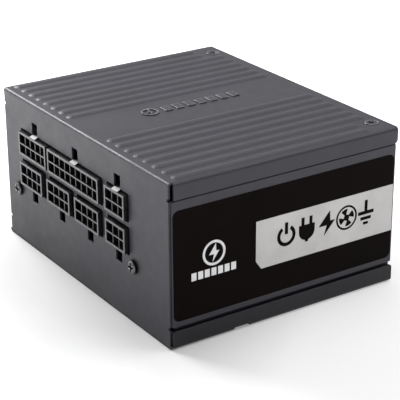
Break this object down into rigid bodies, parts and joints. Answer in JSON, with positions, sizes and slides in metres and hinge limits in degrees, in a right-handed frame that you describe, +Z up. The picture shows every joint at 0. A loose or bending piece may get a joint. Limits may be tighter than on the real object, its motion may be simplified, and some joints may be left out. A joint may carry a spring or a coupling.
{
  "type": "modular computer power supply unit",
  "caption": "Compact computer power supply: ribbed charcoal steel case, modular socket panel, fan behind a wire guard, mains inlet and rocker switch.",
  "frame": {"origin": "centre of the underside of the case, on the surface that the unit rests on, fan side down", "axes": "+X along the case's width towards the side with the large printed label, +Y towards the rear panel with the mains inlet, +Z up to the ribbed cover"},
  "size_m": [0.125, 0.1034, 0.0635],
  "materials": {
    "powder_coat": "fine matte powder coat, charcoal",
    "label_film": "satin printed film",
    "black_screw": "black oxide",
    "bright_screw": "zinc plated",
    "socket_plastic": "moulded nylon, fine grain",
    "terminal_metal": "tin plated",
    "inlet_plastic": "moulded, fine grain",
    "rocker_plastic": "polished",
    "guard_wire": "satin black coat",
    "fan_plastic": "moulded, satin",
    "bearing_brass": "turned",
    "ground_steel": "ground",
    "magnet": "bonded ferrite rubber",
    "copper": "enamelled copper",
    "circuit_board": "solder mask",
    "ferrite": "sintered",
    "winding_tape": "polyester tape",
    "film_capacitor": "moulded case",
    "disc_capacitor": "dipped",
    "capacitor_sleeve": "shrink sleeve",
    "heatsink": "extruded",
    "chip_plastic": "moulded epoxy",
    "insulation_film": "frosted film",
    "wire_sleeve": "soft sleeve",
    "earth_sleeve": "soft sleeve"
  },
  "bodies": {
    "housing": {"ac_inlet": "inlet_plastic", "board_screws": "bright_screw", "board_spacers": "bearing_brass", "bottom_cover": "powder_coat", "bottom_cover_screws": "black_screw", "bridge_rectifier": "chip_plastic", "bulk_capacitor": "capacitor_sleeve", "bus_bars": "copper", "choke_cores": "ferrite", "choke_windings": "copper", "control_board": "circuit_board", "converter_boards": "circuit_board", "converter_coils": "copper", "earth_lead": "earth_sleeve", "earth_tab": "terminal_metal", "fan_bearing": "bearing_brass", "fan_circuit_board": "circuit_board", "fan_coils": "copper", "fan_frame": "fan_plastic", "fan_guard": "guard_wire", "fan_lead": "wire_sleeve", "fan_plug": "socket_plastic", "fan_screws": "black_screw", "fan_stator": "ground_steel", "fuse": "disc_capacitor", "inlet_filter_board": "circuit_board", "inlet_pins": "terminal_metal", "insulation_sheet": "insulation_film", "left_label": "label_film", "main_board": "circuit_board", "main_frame": "powder_coat", "mains_leads": "wire_sleeve", "modular_board": "circuit_board", "output_capacitors": "capacitor_sleeve", "panel_screws": "bright_screw", "primary_heatsink": "heatsink", "primary_transistors": "chip_plastic", "right_label": "label_film", "secondary_heatsink": "heatsink", "socket_10_pin": "socket_plastic", "socket_18_pin": "socket_plastic", "socket_6_pin_bottom": "socket_plastic", "socket_6_pin_top": "socket_plastic", "socket_8_pin_left": "socket_plastic", "socket_8_pin_middle": "socket_plastic", "socket_8_pin_right": "socket_plastic", "socket_terminals": "terminal_metal", "switch_housing": "inlet_plastic", "switch_terminals": "terminal_metal", "top_cover": "powder_coat", "top_cover_screws": "black_screw", "transformer_cores": "ferrite", "transformer_windings": "winding_tape", "x_capacitors": "film_capacitor", "y_capacitors": "disc_capacitor"},
    "fan_wheel": {"fan_rotor": "fan_plastic", "fan_blades": "fan_plastic", "fan_magnet_ring": "magnet", "fan_shaft": "ground_steel"},
    "rocker": {"switch_rocker": "rocker_plastic"}
  },
  "joints": [
    {"name": "fan_spin", "type": "hinge", "parent": "housing", "child": "fan_wheel", "pos_m": [0, 0, 0.01], "axis": [0, 0, 1], "continuous": true},
    {"name": "power_switch", "type": "hinge", "parent": "housing", "child": "rocker", "pos_m": [-0.011, 0.0465, 0.04], "axis": [-1, 0, 0], "range_deg": [0, 20]}
  ]
}
